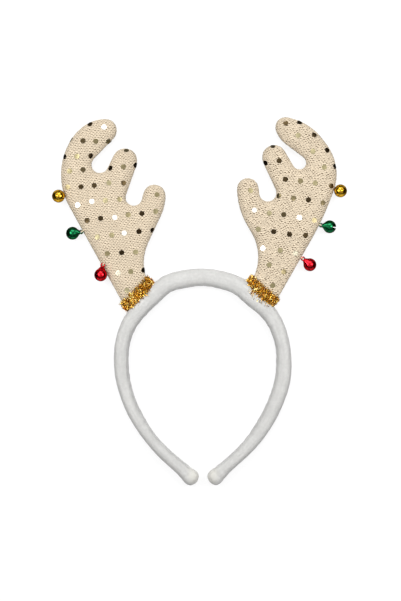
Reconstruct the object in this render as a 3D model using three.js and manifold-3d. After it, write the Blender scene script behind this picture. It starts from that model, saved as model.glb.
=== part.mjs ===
// Reindeer antler headband, lying flat on its back on a table.
// Millimetres. +X is to the right, +Y runs from the open ends of the hoop to the antler tips, +Z is up.
// The footprint is centred on the origin and the table is at z = 0.
import * as THREE from 'three';
import { mergeVertices } from 'three/addons/utils/BufferGeometryUtils.js';
import Module from 'manifold-3d';

const wasm = await Module();
wasm.setup();

// Padded hoop
const hoopHalfWidth = 62.7; // from the hoop's axis to the middle of the roll, at its widest level
const crownRise = 64.2; // from the widest level up to the middle of the roll at the crown
const openEndDrop = 92.4; // from the widest level down to where the table of stations ends
const bandThickness = 13.7; // across the roll, seen from the front
const bandDepth = 14; // from the table to the front of the roll
const bandSides = 12;
const bandStepsPerRow = 2;
const bandEndRings = 4;
const bandEndFlat = 0.3; // keeps the last ring of a rounded end open, as a share of a ring's step

// Stuffed antlers
const antlerHeight = 145.5; // from the hoop to the top tine
const antlerThickness = 11; // at the fullest place
const antlerTableGap = 0.4; // between the lowest fabric and the table
const rimShare = 0.05; // width of the rounded rim, as a share of the antler's height
const rimSteps = 3;
const rimSamples = 40; // places in the rim where a bell's height over it is worked out
const outlineStep = 5.5; // longest piece of an outline
const outlineTurn = 26; // most degrees that an outline turns at one point
const antlerFeet = { left: 0.383, right: 0.617 }; // where each antler stands, as a share along the hoop

// Foil garland round the foot of each antler
const collarWidth = { left: 7.2, right: 9.4 }; // along the antler
const collarOnHoop = { left: 1.7, right: 4.8 }; // how much of that width lies over the hoop
const collarPile = 3; // height of the garland over the antler's face
const collarOuterPile = 0.6; // and past the antler's outer rim
const collarCrownPile = 3; // and past its rim towards the crown
const collarTableGap = 0.4;
const collarSides = 20;
const tuftRows = 3;
const tuftsPerRow = 10;
const tuftLength = 1.3;
const tuftRadius = 0.85;
const tuftSides = 4;
const tuftScatter = 0.25; // as a share of the tufts' spacing
const tuftSplay = 0.6; // how far the outer rows lean away from the middle row
const tuftNod = 0.2; // how much tufts of a row differ in that lean

// Bells
const bellDiameter = 10;
const bellWall = 0.5;
const bellSlit = 1;
const slitFloor = 0.5; // from the middle of the bell up to where its slits end
const bellReach = 7.7; // from the middle of the bell to the middle of its loop
const loopRadius = 1.3; // to the middle of the loop's wire
const loopWire = 1;
const neckWidth = 4.6; // where it leaves the ball
const neckTip = 3.2; // where it meets the loop
const bellPitch = 74; // degrees that an upright bell leans up from the table
const loopTilt = 45; // most degrees that the loop of a lying bell sinks below its body or rises above it
const clapperDiameter = 3.8;
const bellSides = 14;
const bellRings = 8;
const loopSteps = 12;
const wireSides = 6;
const clapperSides = 10;
const clapperRings = 6;

const squareness = 2.6; // exponent of the sections of the hoop and the collars, 2 is an ellipse
const clearance = 0.3; // between pieces that touch

// Stations of the hoop from the open end on the left, over the crown, to the open end on the right.
// across is a share of hoopHalfWidth, along of crownRise above the widest level and of openEndDrop
// below it, thick of bandThickness.
const hoopStations = [
  { across: -0.152, along: -0.972, thick: 0.93 },
  { across: -0.268, along: -0.9, thick: 0.73 },
  { across: -0.479, along: -0.772, thick: 0.68 },
  { across: -0.649, along: -0.647, thick: 0.69 },
  { across: -0.779, along: -0.517, thick: 0.71 },
  { across: -0.882, along: -0.387, thick: 0.74 },
  { across: -0.953, along: -0.252, thick: 0.76 },
  { across: -0.999, along: -0.113, thick: 0.79 },
  { across: -1.007, along: 0.043, thick: 0.82 },
  { across: -0.983, along: 0.252, thick: 0.84 },
  { across: -0.905, along: 0.451, thick: 0.9 },
  { across: -0.769, along: 0.621, thick: 0.94 },
  { across: -0.631, along: 0.758, thick: 0.97 },
  { across: -0.445, along: 0.916, thick: 1 },
  { across: -0.227, along: 0.983, thick: 1 },
  { across: 0, along: 1, thick: 1 },
  { across: 0.225, along: 0.969, thick: 1 },
  { across: 0.435, along: 0.891, thick: 1 },
  { across: 0.608, along: 0.748, thick: 0.97 },
  { across: 0.754, along: 0.623, thick: 0.93 },
  { across: 0.894, along: 0.444, thick: 0.85 },
  { across: 0.964, along: 0.246, thick: 0.82 },
  { across: 0.993, along: 0.042, thick: 0.84 },
  { across: 0.986, along: -0.113, thick: 0.86 },
  { across: 0.943, along: -0.25, thick: 0.88 },
  { across: 0.87, along: -0.383, thick: 0.87 },
  { across: 0.771, along: -0.513, thick: 0.84 },
  { across: 0.644, along: -0.643, thick: 0.78 },
  { across: 0.478, along: -0.769, thick: 0.7 },
  { across: 0.267, along: -0.896, thick: 0.73 },
  { across: 0.152, along: -0.972, thick: 0.93 },
];

// Round stretches of each antler's outline, anticlockwise as seen, joined by straight lines that touch
// both. across and up give the middle of the arc, measured from the antler's foot, and bend its radius,
// negative in a hollow. All are shares of antlerHeight.
const antlerArcs = {
  left: [
    { part: 'top tine', across: -0.181, up: 0.884, bend: 0.063 },
    { part: 'shoulder', across: -0.18, up: 0.743, bend: 0.204 },
    { part: 'belly', across: -0.072, up: 0.649, bend: 0.349 },
    { part: 'outer foot', across: -0.041, up: -0.01, bend: 0.058 },
    { part: 'inner foot', across: 0.004, up: 0.03, bend: 0.058 },
    { part: 'waist', across: 0.27, up: 0.182, bend: -0.246 },
    { part: 'low cheek', across: -0.096, up: 0.535, bend: 0.235 },
    { part: 'low tine', across: 0.077, up: 0.537, bend: 0.063 },
    { part: 'low notch', across: -0.032, up: 0.527, bend: -0.041 },
    { part: 'middle tine', across: -0.079, up: 0.723, bend: 0.069 },
    { part: 'top notch', across: -0.212, up: 0.701, bend: -0.042 },
  ],
  right: [
    { part: 'top tine', across: 0.113, up: 0.898, bend: 0.058 },
    { part: 'chin', across: 0.185, up: 0.911, bend: 0.127 },
    { part: 'top notch', across: 0.187, up: 0.71, bend: -0.033 },
    { part: 'middle tine', across: 0.053, up: 0.74, bend: 0.068 },
    { part: 'low notch', across: 0.019, up: 0.55, bend: -0.043 },
    { part: 'low tine', across: -0.087, up: 0.572, bend: 0.061 },
    { part: 'cheek', across: 0.229, up: 0.57, bend: 0.375 },
    { part: 'waist', across: -0.281, up: 0.212, bend: -0.246 },
    { part: 'inner foot', across: -0.027, up: 0.04, bend: 0.058 },
    { part: 'outer foot', across: 0.018, up: 0.007, bend: 0.058 },
    { part: 'flank', across: -0.934, up: 0.992, bend: 1.373 },
    { part: 'belly', across: 0.122, up: 0.65, bend: 0.265 },
    { part: 'crest', across: 0.078, up: 0.666, bend: 0.29 },
  ],
};

// How full the stuffing is up the antler: up is a share of antlerHeight, full of antlerThickness.
const antlerFullness = [
  { up: -0.1, full: 0.7 },
  { up: 0.05, full: 0.74 },
  { up: 0.2, full: 0.86 },
  { up: 0.42, full: 1 },
  { up: 0.62, full: 0.98 },
  { up: 0.8, full: 0.92 },
  { up: 1, full: 0.86 },
];

// Bells along the outer rim of each antler. up is a share of antlerHeight, out a share of bellDiameter
// from the rim to the middle of the bell, swing the degrees that the bell turns towards the foot, slits the
// degrees from its loop's plane to its slits.
const bellSeats = [
  { side: 'left', colour: 'gold', up: 0.542, out: 0.38, swing: 0, slits: 45, lies: 'upright' },
  { side: 'left', colour: 'green', up: 0.363, out: 0.74, swing: -22, slits: 45, lies: 'table' },
  { side: 'left', colour: 'red', up: 0.129, out: 0.36, swing: 50, slits: 45, lies: 'rim' },
  { side: 'right', colour: 'gold', up: 0.569, out: 0.44, swing: 0, slits: 45, lies: 'upright' },
  { side: 'right', colour: 'green', up: 0.394, out: 0.74, swing: -18, slits: 0, lies: 'table' },
  { side: 'right', colour: 'red', up: 0.198, out: 0.82, swing: 10, slits: 45, lies: 'table' },
];

const finish = (color, roughness, metalness) =>
  new THREE.MeshStandardMaterial({ color, roughness, metalness });
const whiteNap = finish(0xe4e3de, 0.95, 0);
const beigeKnit = finish(0xe2d0b6, 0.9, 0);
const goldFoil = finish(0xc8921c, 0.25, 1);
const bellFinishes = {
  gold: finish(0xd29a1e, 0.2, 1),
  green: finish(0x0a7038, 0.2, 0.8),
  red: finish(0xc01424, 0.2, 0.8),
};
const steel = finish(0x8c8c8c, 0.4, 1);

const up = new THREE.Vector3(0, 0, 1);
const model = new THREE.Group();

function addPiece(name, geometry, material) {
  const mesh = new THREE.Mesh(geometry, material);
  mesh.name = name;
  model.add(mesh);
  return mesh;
}

// Solids for joining and cutting, and back
function toSolid(geometry) {
  const bare = geometry.index ? geometry.clone() : geometry;
  bare.deleteAttribute('normal');
  bare.deleteAttribute('uv');
  const merged = mergeVertices(bare, 1e-4);
  return new wasm.Manifold(new wasm.Mesh({
    numProp: 3,
    vertProperties: merged.attributes.position.array,
    triVerts: Uint32Array.from(merged.index.array),
  }));
}

function fromSolid(solid) {
  const mesh = solid.getMesh();
  const geometry = new THREE.BufferGeometry();
  geometry.setAttribute('position', new THREE.BufferAttribute(Float32Array.from(mesh.vertProperties), 3));
  geometry.setIndex(Array.from(mesh.triVerts));
  return geometry;
}

// Closed skin through rings of equal length, with a cap at each end
function skinRings(rings, caps) {
  const points = rings.flat();
  const size = rings[0].length;
  const faces = [];
  for (let ring = 0; ring + 1 < rings.length; ring += 1) {
    for (let k = 0; k < size; k += 1) {
      const a = ring * size + k;
      const b = ring * size + (k + 1) % size;
      faces.push(a, b, b + size, a, b + size, a + size);
    }
  }
  const last = (rings.length - 1) * size;
  for (const [i, j, k] of caps(size, points)) {
    faces.push(i, k, j, last + i, last + j, last + k);
  }
  const geometry = new THREE.BufferGeometry().setFromPoints(points);
  geometry.setIndex(faces);
  return geometry;
}

function fanCap(size) {
  return Array.from({ length: size - 2 }, (_, k) => [0, k + 1, k + 2]);
}

// Padded hoop: the third number of each point on its curve carries the thickness there
const hoopCurve = new THREE.CatmullRomCurve3(hoopStations.map(({ across, along, thick }) =>
  new THREE.Vector3(
    across * hoopHalfWidth,
    along * (along > 0 ? crownRise : openEndDrop),
    thick * bandThickness,
  )), false, 'centripetal');

function hoopStation(share) {
  const point = hoopCurve.getPoint(share);
  const ahead = hoopCurve.getTangent(share);
  const run = new THREE.Vector3(ahead.x, ahead.y, 0).normalize();
  return {
    middle: new THREE.Vector3(point.x, point.y, bandDepth / 2),
    thick: point.z,
    run,
    outward: new THREE.Vector3(-run.y, run.x, 0),
  };
}

// Point at an angle round a rounded square that reaches 1 to each side
function softSquare(angle) {
  const soften = (value) => Math.sign(value) * Math.abs(value) ** (2 / squareness);
  return new THREE.Vector2(soften(Math.cos(angle)), soften(Math.sin(angle)));
}

function bandSection() {
  const section = Array.from({ length: bandSides }, (_, k) =>
    softSquare(2 * Math.PI * (k + 0.5) / bandSides));
  const reach = Math.max(...section.map((corner) => corner.x));
  return section.map((corner) => corner.divideScalar(reach));
}

function bandGeometry(extra) {
  const section = bandSection();
  const ringAt = ({ middle, thick, outward }, advance, run, shrink) => section.map((corner) =>
    middle.clone()
      .addScaledVector(run, advance)
      .addScaledVector(outward, corner.x * shrink * (thick / 2 + extra))
      .addScaledVector(up, corner.y * shrink * (bandDepth / 2 + extra)));
  const endRings = (station, direction) => Array.from({ length: bandEndRings }, (_, k) => {
    const angle = Math.PI / 2 * (k + 1) / (bandEndRings + bandEndFlat);
    const advance = direction * Math.sin(angle) * (station.thick / 2 + extra);
    return ringAt(station, advance, station.run, Math.cos(angle));
  });
  const steps = (hoopStations.length - 1) * bandStepsPerRow;
  const stations = Array.from({ length: steps + 1 }, (_, k) => hoopStation(k / steps));
  const rings = [
    ...endRings(stations[0], -1).reverse(),
    ...stations.map((station) => ringAt(station, 0, station.run, 1)),
    ...endRings(stations[steps], 1),
  ];
  return skinRings(rings, fanCap);
}

// Antlers
function arcOutline(arcs, inset) {
  const turns = arcs.map(({ across, up: rise, bend }) => ({
    x: across * antlerHeight,
    y: rise * antlerHeight,
    r: bend * antlerHeight,
  }));
  const headings = turns.map((from, i) => {
    const to = turns[(i + 1) % turns.length];
    const apart = Math.hypot(to.x - from.x, to.y - from.y);
    const lean = THREE.MathUtils.clamp((to.r - from.r) / apart, -1, 1);
    return Math.atan2(to.y - from.y, to.x - from.x) - Math.asin(lean);
  });
  const whole = 2 * Math.PI;
  const outline = [];
  turns.forEach(({ x, y, r }, i) => {
    const start = headings[(i + turns.length - 1) % turns.length];
    const ahead = THREE.MathUtils.euclideanModulo(headings[i] - start, whole);
    const sweep = r > 0 ? ahead : ahead - whole;
    const pieces = Math.ceil(Math.max(
      Math.abs(sweep * r) / outlineStep,
      Math.abs(sweep) / THREE.MathUtils.degToRad(outlineTurn),
      1,
    ));
    for (let k = 0; k <= pieces; k += 1) {
      const heading = start + sweep * k / pieces;
      const reach = r - inset;
      outline.push(new THREE.Vector2(x + reach * Math.sin(heading), y - reach * Math.cos(heading)));
    }
  });
  return outline;
}

// Long straight runs get points of their own, at the same shares in every inset copy of the outline
function dividedOutline(arcs, inset) {
  const rim = arcOutline(arcs, 0);
  const line = arcOutline(arcs, inset);
  return line.flatMap((point, i) => {
    const next = (i + 1) % line.length;
    const pieces = Math.max(1, Math.round(rim[i].distanceTo(rim[next]) / (2 * outlineStep)));
    return Array.from({ length: pieces }, (_, k) => point.clone().lerp(line[next], k / pieces));
  });
}

function fullnessAt(share) {
  const above = antlerFullness.findIndex((row) => row.up > share);
  if (above < 1) return antlerFullness.at(above).full;
  const [low, high] = [antlerFullness[above - 1], antlerFullness[above]];
  return THREE.MathUtils.mapLinear(share, low.up, high.up, low.full, high.full);
}

const rimWidth = rimShare * antlerHeight;
const antlerLevel = antlerTableGap + antlerThickness / 2;

// Height of the fabric above the antler's middle plane, by distance in from its rim
function pillowHeight(inset, share) {
  const inward = 1 - THREE.MathUtils.clamp(inset / rimWidth, 0, 1);
  return antlerThickness / 2 * fullnessAt(share) * Math.sqrt(1 - inward * inward);
}

function antlerFoot(side) {
  const station = hoopStation(antlerFeet[side]);
  const foot = station.middle.clone().addScaledVector(station.outward, station.thick / 2);
  return { ...station, foot };
}

function antlerGeometry(side, extra) {
  const { foot } = antlerFoot(side);
  const arcs = antlerArcs[side];
  const ringAt = (inset, face) => dividedOutline(arcs, inset - extra).map((point) => {
    const height = pillowHeight(inset, point.y / antlerHeight);
    const plump = 1 + extra / (antlerThickness / 2);
    return new THREE.Vector3(foot.x + point.x, foot.y + point.y, antlerLevel + face * height * plump);
  });
  const insets = Array.from({ length: rimSteps }, (_, k) =>
    rimWidth * (1 - Math.cos(Math.PI / 2 * (k + 1) / rimSteps)));
  const rings = [
    ...insets.map((inset) => ringAt(inset, -1)).reverse(),
    ringAt(0, 0),
    ...insets.map((inset) => ringAt(inset, 1)),
  ];
  const innerCap = (size, points) => THREE.ShapeUtils.triangulateShape(
    points.slice(0, size).map((point) => new THREE.Vector2(point.x, point.y)), []);
  return skinRings(rings, innerCap);
}

// Ends of the antler along a line that runs beside the hoop, at a distance from the hoop
function footSpan(side, apart) {
  const { foot, run, outward } = antlerFoot(side);
  const places = dividedOutline(antlerArcs[side], 0).map(({ x, y }) => ({
    along: x * run.x + y * run.y,
    apart: x * outward.x + y * outward.y,
  }));
  const ends = places.flatMap((from, i) => {
    const to = places[(i + 1) % places.length];
    if ((from.apart - apart) * (to.apart - apart) > 0 || from.apart === to.apart) return [];
    return [THREE.MathUtils.mapLinear(apart, from.apart, to.apart, from.along, to.along)];
  });
  const [first, last] = [Math.min(...ends), Math.max(...ends)];
  const middle = foot.clone().addScaledVector(run, (first + last) / 2);
  return { middle, length: last - first };
}

// Garland: a sleeve round the antler's foot with tufts of foil on its front and sides
function collarSolid(side) {
  const { run, outward } = antlerFoot(side);
  const width = collarWidth[side];
  const onHoop = collarOnHoop[side];
  const span = footSpan(side, width / 2 - onHoop);
  const length = span.length + 2 * clearance + collarOuterPile + collarCrownPile;
  const shift = (collarCrownPile - collarOuterPile) / 2 * (side === 'left' ? 1 : -1);
  const top = antlerLevel + pillowHeight(rimWidth, 0) + clearance + collarPile;
  const halfHeight = (top - collarTableGap) / 2;
  const middle = span.middle.addScaledVector(run, shift).setZ(collarTableGap + halfHeight);
  const place = new THREE.Matrix4().makeBasis(run.clone().negate(), up, outward).setPosition(middle);
  const rimPoint = (angle) => softSquare(angle).multiply(new THREE.Vector2(length / 2, halfHeight));
  const section = new THREE.Shape(Array.from({ length: collarSides }, (_, k) =>
    rimPoint(2 * Math.PI * k / collarSides)));
  const sleeve = new THREE.ExtrudeGeometry(section, { depth: width, bevelEnabled: false, steps: 1 });
  sleeve.translate(0, 0, -onHoop).applyMatrix4(place);
  let solid = toSolid(sleeve);
  for (let row = 0; row < tuftRows; row += 1) {
    for (let k = 0; k < tuftsPerRow; k += 1) {
      const sway = tuftScatter * Math.sin(7.3 * row + 4.1 * k);
      const angle = Math.PI * (k + 0.5 + sway) / tuftsPerRow;
      const seat = rimPoint(angle);
      const lean = new THREE.Vector3(
        Math.cos(angle) + sway,
        Math.sin(angle),
        tuftSplay * (row - (tuftRows - 1) / 2) + tuftNod * Math.cos(5.7 * k),
      ).normalize();
      const along = width * (row + 0.5) / tuftRows - onHoop;
      const tuft = new THREE.ConeGeometry(tuftRadius, 2 * tuftLength, tuftSides);
      tuft.applyQuaternion(new THREE.Quaternion().setFromUnitVectors(new THREE.Vector3(0, 1, 0), lean));
      tuft.translate(seat.x, seat.y, along).applyMatrix4(place);
      solid = solid.add(toSolid(tuft));
    }
  }
  return solid;
}

// Crumbs that a cut leaves beside the piece are dropped
function largestPart(solid) {
  return solid.decompose().reduce((best, next) => (next.volume() > best.volume() ? next : best));
}

// Bells
const bellRadius = bellDiameter / 2;

function bellProfile(radius, neck) {
  const start = Math.PI / 2;
  const end = -Math.acos(neck ? neckWidth / bellDiameter : 0);
  const arc = Array.from({ length: bellRings + 1 }, (_, k) => {
    const angle = THREE.MathUtils.lerp(start, end, k / bellRings);
    return new THREE.Vector2(Math.max(0, radius * Math.cos(angle)), radius * Math.sin(angle));
  });
  arc[0].x = 0;
  if (!neck) {
    arc[bellRings].x = 0;
    return arc;
  }
  const tip = -(bellReach - loopRadius);
  return [...arc, new THREE.Vector2(neckTip / 2, tip), new THREE.Vector2(0, tip - loopWire / 4)];
}

// The ball's axis is +Y, with the slits at its top and the loop below
function bellSolid(slits) {
  const ball = new THREE.LatheGeometry(bellProfile(bellRadius, true).reverse(), bellSides);
  const hollow = new THREE.LatheGeometry(bellProfile(bellRadius - bellWall, false).reverse(), bellSides);
  const loop = new THREE.TorusGeometry(loopRadius, loopWire / 2, wireSides, loopSteps);
  loop.translate(0, -bellReach, 0);
  let bell = toSolid(ball).add(toSolid(loop)).subtract(toSolid(hollow));
  for (const turn of [0, Math.PI / 2]) {
    const slit = new THREE.BoxGeometry(bellSlit, bellDiameter, 2 * bellDiameter);
    slit.translate(0, slitFloor + bellRadius, 0).rotateY(turn + THREE.MathUtils.degToRad(slits));
    bell = bell.subtract(toSolid(slit));
  }
  return bell;
}

function rimAt(side, share) {
  const outline = dividedOutline(antlerArcs[side], 0);
  const level = share * antlerHeight;
  const outerSide = side === 'left' ? -1 : 1;
  const crossings = outline.flatMap((from, i) => {
    const to = outline[(i + 1) % outline.length];
    if ((from.y - level) * (to.y - level) > 0 || from.y === to.y) return [];
    const point = from.clone().lerp(to, (level - from.y) / (to.y - from.y));
    const edge = to.clone().sub(from).normalize();
    return [{ point, outward: new THREE.Vector3(edge.y, -edge.x, 0) }];
  });
  return crossings.reduce((best, next) =>
    (outerSide * next.point.x > outerSide * best.point.x ? next : best));
}

// Lowest level at which a ball of this radius clears the rim from above
function levelOverRim(out, radius, share) {
  const reach = radius + clearance;
  const levels = Array.from({ length: rimSamples + 1 }, (_, k) => {
    const inset = rimWidth * k / rimSamples;
    const across = out + inset;
    const rise = Math.abs(across) < reach ? Math.sqrt(reach * reach - across * across) : -Infinity;
    return antlerLevel + pillowHeight(inset, share) + rise;
  });
  return Math.max(...levels);
}

// Tilt of a lying bell at which its loop rests on the rim
function loopRest(apart, level, swing, share) {
  const tilts = Array.from({ length: 2 * loopTilt + 1 }, (_, k) => THREE.MathUtils.degToRad(loopTilt - k));
  return tilts.find((tilt) => {
    const inward = Math.cos(swing) * Math.cos(tilt);
    const ring = Math.hypot(inward, Math.sin(swing));
    const out = apart - bellReach * inward - loopRadius * ring;
    const loopLevel = level - Math.sin(tilt) * (bellReach + loopRadius * inward / ring);
    const rest = levelOverRim(out, loopWire / 2, share);
    return Number.isFinite(rest) && loopLevel >= rest;
  });
}

function bellPose({ side, up: share, out, swing: degrees, lies }) {
  const { foot } = antlerFoot(side);
  const { point, outward } = rimAt(side, share);
  const apart = out * bellDiameter;
  const towardsFoot = side === 'left' ? 1 : -1;
  const swing = THREE.MathUtils.degToRad(degrees);
  const heading = outward.clone().applyAxisAngle(up, towardsFoot * swing);
  const level = lies === 'table' ? bellRadius + clearance : levelOverRim(apart, bellRadius, share);
  const pitch = lies === 'upright'
    ? THREE.MathUtils.degToRad(bellPitch)
    : loopRest(apart, level, swing, share);
  const axis = heading.clone().multiplyScalar(Math.cos(pitch)).addScaledVector(up, Math.sin(pitch));
  const middle = new THREE.Vector3(foot.x + point.x, foot.y + point.y, level);
  middle.addScaledVector(outward, apart);
  const sideways = up.clone().cross(heading);
  const turn = new THREE.Matrix4().makeBasis(sideways, axis, sideways.clone().cross(axis));
  return { middle, turn };
}

// Assembly
addPiece('headband', bandGeometry(0), whiteNap);
const fatBand = toSolid(bandGeometry(clearance));

for (const side of ['left', 'right']) {
  const antler = toSolid(antlerGeometry(side, 0)).subtract(fatBand);
  addPiece(`${side}_antler`, fromSolid(antler), beigeKnit);
  const fatAntler = toSolid(antlerGeometry(side, clearance));
  const collar = collarSolid(side).subtract(fatBand).subtract(fatAntler);
  addPiece(`${side}_tinsel`, fromSolid(largestPart(collar)), goldFoil);
}

const clapperRadius = clapperDiameter / 2;
for (const seat of bellSeats) {
  const { middle, turn } = bellPose(seat);
  const shell = fromSolid(bellSolid(seat.slits));
  const bell = addPiece(`${seat.side}_${seat.colour}_bell`, shell, bellFinishes[seat.colour]);
  bell.position.copy(middle);
  bell.quaternion.setFromRotationMatrix(turn);
  const ball = new THREE.SphereGeometry(clapperRadius, clapperSides, clapperRings);
  const clapper = addPiece(`${seat.side}_${seat.colour}_clapper`, ball, steel);
  const drop = bellRadius - bellWall - clapperRadius - clearance;
  clapper.position.copy(middle).addScaledVector(up, -drop);
}

// Centre the footprint on the origin
model.updateMatrixWorld(true);
const box = new THREE.Box3().setFromObject(model, true);
const centre = box.getCenter(new THREE.Vector3());
model.position.set(-centre.x, -centre.y, -box.min.z);
model.updateMatrixWorld(true);

export default model;
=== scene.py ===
"""Reindeer antler headband: the soft parts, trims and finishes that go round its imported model."""

import math
from collections import namedtuple

import bmesh
import bpy
import numpy as np
from bpy.props import FloatProperty, FloatVectorProperty, IntProperty, PointerProperty
from mathutils import Matrix, Vector
from mathutils.bvhtree import BVHTree


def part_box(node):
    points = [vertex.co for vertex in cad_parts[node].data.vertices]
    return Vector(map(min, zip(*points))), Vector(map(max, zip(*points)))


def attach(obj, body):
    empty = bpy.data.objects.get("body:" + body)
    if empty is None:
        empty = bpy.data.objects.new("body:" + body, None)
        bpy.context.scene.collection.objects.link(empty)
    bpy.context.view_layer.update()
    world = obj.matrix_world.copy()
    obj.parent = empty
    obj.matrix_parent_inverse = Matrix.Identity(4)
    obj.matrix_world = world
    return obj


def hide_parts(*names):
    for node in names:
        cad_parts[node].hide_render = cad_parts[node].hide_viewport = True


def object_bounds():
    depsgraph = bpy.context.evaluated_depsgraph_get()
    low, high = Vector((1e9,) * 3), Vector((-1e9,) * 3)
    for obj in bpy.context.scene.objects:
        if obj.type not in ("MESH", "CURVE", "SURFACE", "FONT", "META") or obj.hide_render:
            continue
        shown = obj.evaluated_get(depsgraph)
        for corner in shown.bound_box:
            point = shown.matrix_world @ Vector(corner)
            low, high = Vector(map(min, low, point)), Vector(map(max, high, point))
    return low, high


bl_info = {
    "name": "Reindeer Antler Headband",
    "version": (1, 0, 0),
    "blender": (4, 5, 0),
    "location": "3D View > Sidebar > Headband",
    "description": "Dresses a padded headband with knit antlers, foil dots, tinsel collars and bells",
    "category": "Add Mesh",
}

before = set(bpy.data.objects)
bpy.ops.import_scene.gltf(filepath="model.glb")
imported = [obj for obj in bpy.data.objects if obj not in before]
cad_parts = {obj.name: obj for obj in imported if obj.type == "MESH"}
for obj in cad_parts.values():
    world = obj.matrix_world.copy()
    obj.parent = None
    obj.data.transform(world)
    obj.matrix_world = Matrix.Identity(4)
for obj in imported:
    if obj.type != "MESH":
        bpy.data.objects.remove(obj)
CAD_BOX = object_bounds()

MM = 0.001
SIDES = ("left", "right")
COLOURS = ("gold", "green", "red")
ANTLERS = tuple(f"{side}_antler" for side in SIDES)
MERGE = 1e-6
SHARP_ANGLE = math.radians(50)
UP = Vector((0, 0, 1))

# Rows of foil dots, in millimetres: the place of a row's first dot from the middle of its antler, how many
# dots it has, and the way from each dot to the next. Dots that miss the antler are left out.
DotRow = namedtuple("DotRow", "across up dots step rise")
DOT_ROWS = {
    "left_antler": (
        DotRow(-17.7, 68.3, 3, 10.6, -1.9),
        DotRow(-32.3, 56.9, 4, 9.6, -0.5),
        DotRow(-37.3, 44.1, 3, 9.8, 0.0),
        DotRow(9.9, 48.5, 1, 0.0, 0.0),
        DotRow(-33.1, 32.5, 6, 10.15, 0.95),
        DotRow(-35.1, 19.7, 5, 10.6, 1.0),
        DotRow(33.9, 14.4, 1, 0.0, 0.0),
        DotRow(-27.2, 7.3, 4, 10.8, 1.4),
        DotRow(-19.7, -5.2, 6, 10.5, 1.3),
        DotRow(-12.0, -17.9, 5, 10.6, 1.3),
        DotRow(-4.0, -31.0, 3, 10.8, 0.95),
        DotRow(3.9, -46.1, 3, 9.9, 1.3),
        DotRow(10.9, -59.3, 1, 0.0, 0.0),
    ),
    "right_antler": (
        DotRow(-1.0, 66.8, 2, 10.9, 1.6),
        DotRow(9.1, 57.6, 2, 11.8, 0.2),
        DotRow(-10.6, 49.8, 1, 0.0, 0.0),
        DotRow(19.6, 45.6, 2, 11.2, 1.0),
        DotRow(-17.0, 36.6, 2, 11.1, 1.4),
        DotRow(28.1, 32.5, 2, 8.8, 1.6),
        DotRow(-1.4, 23.7, 4, 11.7, -1.4),
        DotRow(-28.4, 15.4, 6, 11.15, -2.0),
        DotRow(-36.8, 2.1, 6, 11.55, -1.85),
        DotRow(-22.4, -14.6, 4, 12.1, -1.65),
        DotRow(-17.8, -28.5, 3, 12.0, -2.2),
        DotRow(-13.7, -41.9, 2, 11.5, -4.7),
        DotRow(-10.9, -57.9, 1, 0.0, 0.0),
    ),
}

# How the knit lies on each antler: the slope of its rows in degrees, and how far in millimetres they wander
# over a few stitches and from one stitch to the next, and how much the painted shade of its holes differs
Knit = namedtuple("Knit", "slope wander unevenness openness")
KNITS = {"left_antler": Knit(5, 0.35, 0.12, 0.1), "right_antler": Knit(-8, 0.5, 0.26, 0.65)}

# Surfaces that other pieces are seated on, filled in as the pieces are made
SKINS = {}


def size_property(name, description, size):
    return FloatProperty(name=name, description=description, unit="LENGTH", default=size)


def colour_property(name, description, colour):
    return FloatVectorProperty(name=name, description=description, subtype="COLOR", default=colour)


class RollSettings(bpy.types.PropertyGroup):
    nap_colour: colour_property("Nap", "Colour of the roll's nap", (0.545, 0.542, 0.527))
    # Flattened nap: this colour also paints the shade on the roll's inner side
    flat_nap_and_shade_colour: colour_property("Flattened nap and shade", "Colour where the nap lies flat", (0.385, 0.383, 0.374))
    tip_colour: colour_property("Tips", "Colour of the roll's two ends", (0.62, 0.605, 0.55))
    cell: size_property("Cell", "Size of the cloth's cells in the simulation", 2.15 * MM)
    puff: size_property("Puff", "Scale of the padding's swell", 0.5 * MM)
    seam_depth: size_property("Seam depth", "Depth of the seam on the inner side", 0.45 * MM)
    tip_length: size_property("Tip length", "Length of the closed ends, up to their crease", 8 * MM)


class AntlerSettings(bpy.types.PropertyGroup):
    yarn_colour: colour_property("Yarn", "Colour of the knit's yarn", (0.6, 0.505, 0.378))
    # Holes: the dark colour in the knit's holes and in the rim seam's groove is painted shade
    hole_shade_colour: colour_property("Holes", "Colour in the knit's holes", (0.11, 0.075, 0.042))
    stitch: size_property("Stitch", "Distance between stitches in a row", 2.3 * MM)
    row: size_property("Row", "Distance between rows of stitches", 1.3 * MM)
    hole_width: size_property("Hole width", "Width of a hole, along its row", 1.6 * MM)
    hole_height: size_property("Hole height", "Height of a hole", 0.65 * MM)
    relief: size_property("Relief", "Depth of the holes", 0.3 * MM)
    cell: size_property("Cell", "Size of the cloth's cells in the simulation", 1.76 * MM)
    puff: size_property("Puff", "Scale of the stuffing's swell", 1.2 * MM)
    seam_depth: size_property("Seam depth", "Depth of the seam round the rim", 0.4 * MM)


class DotSettings(bpy.types.PropertyGroup):
    diameter: size_property("Diameter", "Diameter of a foil dot", 4 * MM)
    thickness: size_property("Thickness", "Thickness of the foil", 0.12 * MM)
    lean: size_property("Lean", "How far one edge of a dot may stand up", 0.13 * MM)
    seed: IntProperty(name="Seed", description="Seed of the dots' places", default=11)
    tone_seed: IntProperty(name="Tone seed", description="Seed of the dots' tones", default=1)


class TinselSettings(bpy.types.PropertyGroup):
    strips: IntProperty(name="Strips", description="Foil strips on each collar", default=4200)
    length: size_property("Length", "Length of a strip", 2.9 * MM)
    width: size_property("Width", "Width of a strip", 0.36 * MM)
    seed: IntProperty(name="Seed", description="Seed of the strips' places", default=5)


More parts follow.
